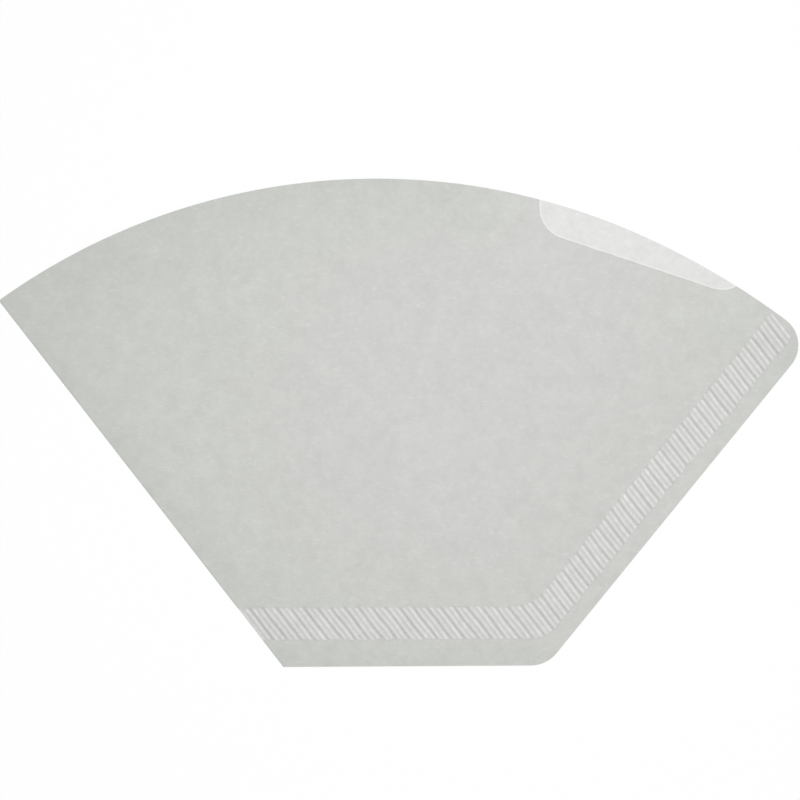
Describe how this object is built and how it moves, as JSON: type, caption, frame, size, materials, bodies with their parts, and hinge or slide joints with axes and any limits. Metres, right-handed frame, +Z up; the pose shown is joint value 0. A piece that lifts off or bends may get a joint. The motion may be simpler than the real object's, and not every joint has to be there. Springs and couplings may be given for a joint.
{
  "type": "paper coffee filter",
  "caption": "Flat-folded trapezoid paper coffee filter with a crimped seam along its bottom and one side, a curved open mouth and a finger notch in its front ply.",
  "frame": {"origin": "under the middle of the outline's box, on the surface that the filter lies on", "axes": "+X along the bottom edge from the fold towards the side seam, +Y from the bottom edge towards the mouth, +Z up out of the front ply"},
  "size_m": [0.1652, 0.1008, 0.0009],
  "materials": {
    "filter_paper": "matt, faintly mottled"
  },
  "bodies": {
    "root": {"filter_paper": "filter_paper"}
  },
  "joints": []
}
